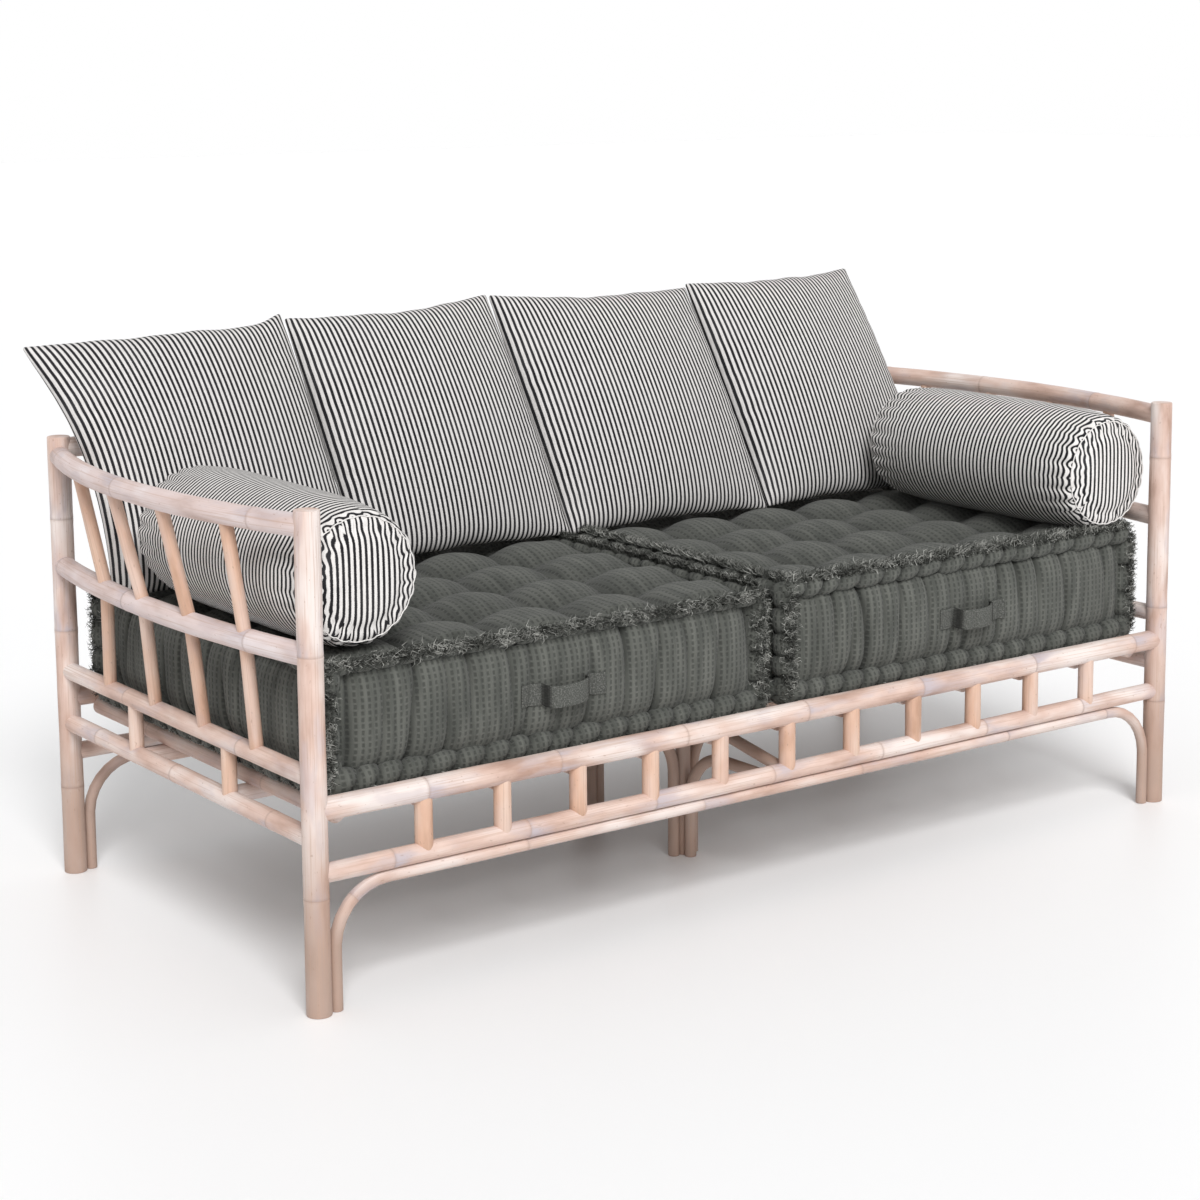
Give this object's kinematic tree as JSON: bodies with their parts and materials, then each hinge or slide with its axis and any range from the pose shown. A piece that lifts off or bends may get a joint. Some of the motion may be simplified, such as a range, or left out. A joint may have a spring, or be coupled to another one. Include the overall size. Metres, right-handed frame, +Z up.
{
  "type": "rattan sofa",
  "caption": "Rattan pole sofa with bowed spindle arms and a slatted deck; its tufted seat cushions with handles, striped back cushions and bolsters lift off.",
  "frame": {"origin": "on the floor, under the middle of the bounding box", "axes": "+X along the front, to the right for someone facing the sofa; +Y from the front to the back; +Z up"},
  "size_m": [1.926, 0.8718, 0.9114],
  "materials": {
    "rattan": "whitewashed rattan pole, satin",
    "charcoal_fabric": "charcoal waffle-weave cotton with frayed seams",
    "striped_fabric": "black and off-white striped cotton"
  },
  "bodies": {
    "frame": {"front_left_post": "rattan", "front_right_post": "rattan", "rear_left_post": "rattan", "rear_right_post": "rattan", "front_upper_rail": "rattan", "front_lower_rail": "rattan", "front_arch": "rattan", "front_spindle_01": "rattan", "front_spindle_02": "rattan", "front_spindle_03": "rattan", "front_spindle_04": "rattan", "front_spindle_05": "rattan", "front_spindle_06": "rattan", "front_spindle_07": "rattan", "front_spindle_08": "rattan", "front_spindle_09": "rattan", "front_spindle_10": "rattan", "front_spindle_11": "rattan", "rear_top_rail": "rattan", "rear_seat_rail": "rattan", "rear_lower_rail": "rattan", "rear_arch": "rattan", "left_arm_top_rail": "rattan", "left_arm_middle_rail": "rattan", "left_side_upper_rail": "rattan", "left_side_lower_rail": "rattan", "left_arm_upper_spindle_1": "rattan", "left_arm_upper_spindle_2": "rattan", "left_arm_upper_spindle_3": "rattan", "left_arm_upper_spindle_4": "rattan", "left_arm_lower_spindle_1": "rattan", "left_arm_lower_spindle_2": "rattan", "left_arm_lower_spindle_3": "rattan", "left_arm_lower_spindle_4": "rattan", "right_arm_top_rail": "rattan", "right_arm_middle_rail": "rattan", "right_side_upper_rail": "rattan", "right_side_lower_rail": "rattan", "right_arm_upper_spindle_1": "rattan", "right_arm_upper_spindle_2": "rattan", "right_arm_upper_spindle_3": "rattan", "right_arm_upper_spindle_4": "rattan", "right_arm_lower_spindle_1": "rattan", "right_arm_lower_spindle_2": "rattan", "right_arm_lower_spindle_3": "rattan", "right_arm_lower_spindle_4": "rattan", "seat_deck": "rattan", "centre_leg_front": "rattan", "centre_leg_rear": "rattan", "centre_stretcher": "rattan"},
    "left_seat": {"left_seat_cushion": "charcoal_fabric", "left_handle": "charcoal_fabric"},
    "right_seat": {"right_seat_cushion": "charcoal_fabric", "right_handle": "charcoal_fabric"},
    "back_1": {"back_cushion_1": "striped_fabric"},
    "back_2": {"back_cushion_2": "striped_fabric"},
    "back_3": {"back_cushion_3": "striped_fabric"},
    "back_4": {"back_cushion_4": "striped_fabric"},
    "left_roll": {"left_bolster": "striped_fabric"},
    "right_roll": {"right_bolster": "striped_fabric"}
  },
  "joints": [
    {"name": "left_seat_lift", "type": "slide", "parent": "frame", "child": "left_seat", "axis": [0, 0, 1], "range_m": [0, 0.3]},
    {"name": "right_seat_lift", "type": "slide", "parent": "frame", "child": "right_seat", "axis": [0, 0, 1], "range_m": [0, 0.3]},
    {"name": "back_1_lift", "type": "slide", "parent": "left_seat", "child": "back_1", "axis": [0, 0, 1], "range_m": [0, 0.35]},
    {"name": "back_2_lift", "type": "slide", "parent": "left_seat", "child": "back_2", "axis": [0, 0, 1], "range_m": [0, 0.35]},
    {"name": "back_3_lift", "type": "slide", "parent": "right_seat", "child": "back_3", "axis": [0, 0, 1], "range_m": [0, 0.35]},
    {"name": "back_4_lift", "type": "slide", "parent": "right_seat", "child": "back_4", "axis": [0, 0, 1], "range_m": [0, 0.35]},
    {"name": "left_roll_lift", "type": "slide", "parent": "left_seat", "child": "left_roll", "axis": [0, 0, 1], "range_m": [0, 0.3]},
    {"name": "right_roll_lift", "type": "slide", "parent": "right_seat", "child": "right_roll", "axis": [0, 0, 1], "range_m": [0, 0.3]}
  ]
}
